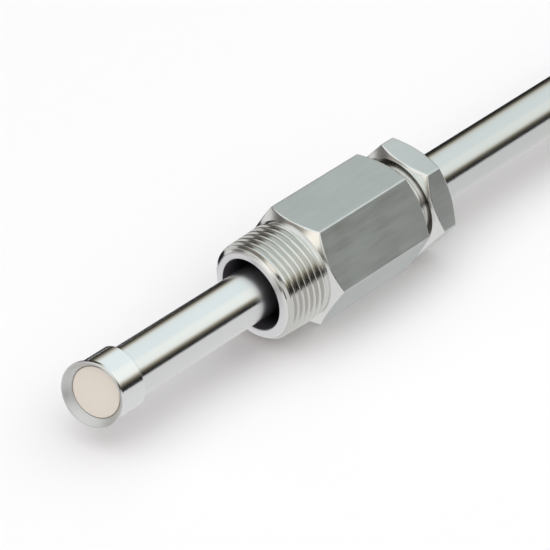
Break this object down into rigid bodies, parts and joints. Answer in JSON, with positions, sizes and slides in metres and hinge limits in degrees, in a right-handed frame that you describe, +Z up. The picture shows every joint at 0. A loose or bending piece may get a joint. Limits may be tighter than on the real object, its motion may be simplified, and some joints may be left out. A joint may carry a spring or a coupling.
{
  "type": "insertion ultrasonic flow sensor with compression fitting",
  "caption": "Steel probe stem with a slanted, dished sensor face and beige window, sliding in a hexagonal compression fitting with pipe thread and gland nut.",
  "frame": {"origin": "on the stem's axis, at the middle of the full-diameter pipe thread", "axes": "+X along the stem from the sensor face towards the cable gland, +Z up with the fitting lying on one flat of its hexagon, +Y to the left seen from the gland"},
  "size_m": [0.2687, 0.0404, 0.0364],
  "materials": {
    "fitting_steel": "satin, finely brushed across the flats",
    "nut_steel": "satin, finely brushed across the flats",
    "stem_steel": "polished to a soft mirror",
    "head_steel": "fine-turned satin",
    "window_beige": "matte, lapped",
    "bond_brown": "matte",
    "packing_white": "waxy",
    "ring_bronze": "turned",
    "crystal_ceramic": "fired, silvered faces",
    "barrier_cork": "pressed cork",
    "backing_dark": "matte filled resin",
    "lead_black": "satin",
    "lead_red": "satin",
    "seal_rubber": "matte",
    "gland_steel": "satin, plated"
  },
  "bodies": {
    "fitting": {"fitting_body": "fitting_steel", "packing_washer": "fitting_steel"},
    "packing": {"packing_ring_1": "packing_white", "packing_ring_2": "packing_white", "packing_ring_3": "packing_white"},
    "follower": {"thrust_ring": "ring_bronze"},
    "nut": {"gland_nut": "nut_steel"},
    "probe": {"stem_tube": "stem_steel", "sensor_head": "head_steel", "window_disc": "window_beige", "window_seal": "bond_brown", "transmit_crystal": "crystal_ceramic", "receive_crystal": "crystal_ceramic", "crystal_barrier": "barrier_cork", "backing_block": "backing_dark", "transmit_lead": "lead_black", "receive_lead": "lead_red", "potting_plug": "backing_dark", "tail_plug": "gland_steel", "tail_seal": "seal_rubber", "gland_base": "gland_steel", "gland_gasket": "seal_rubber"},
    "sealing_insert": {"gland_insert": "seal_rubber"},
    "cap": {"gland_cap": "gland_steel"}
  },
  "joints": [
    {"name": "stem_turn", "type": "hinge", "parent": "fitting", "child": "packing", "pos_m": [0, 0, 0], "axis": [1, 0, 0], "range_deg": [-180, 180]},
    {"name": "stem_slide", "type": "slide", "parent": "packing", "child": "probe", "axis": [1, 0, 0], "range_m": [-0.091, 0.079]},
    {"name": "thrust_slide", "type": "slide", "parent": "fitting", "child": "follower", "axis": [1, 0, 0], "range_m": [0, 0.0046]},
    {"name": "nut_turn", "type": "hinge", "parent": "follower", "child": "nut", "pos_m": [0, 0, 0], "axis": [1, 0, 0], "range_deg": [0, 1080]},
    {"name": "insert_slide", "type": "slide", "parent": "probe", "child": "sealing_insert", "axis": [1, 0, 0], "range_m": [0, 0.0031]},
    {"name": "cap_turn", "type": "hinge", "parent": "sealing_insert", "child": "cap", "pos_m": [0, 0, 0], "axis": [1, 0, 0], "range_deg": [0, 720]}
  ],
  "couplings": [
    {"joint": "thrust_slide", "follows": "nut_turn", "m_per_rad": 0.00023873},
    {"joint": "insert_slide", "follows": "cap_turn", "m_per_rad": 0.00023873}
  ]
}
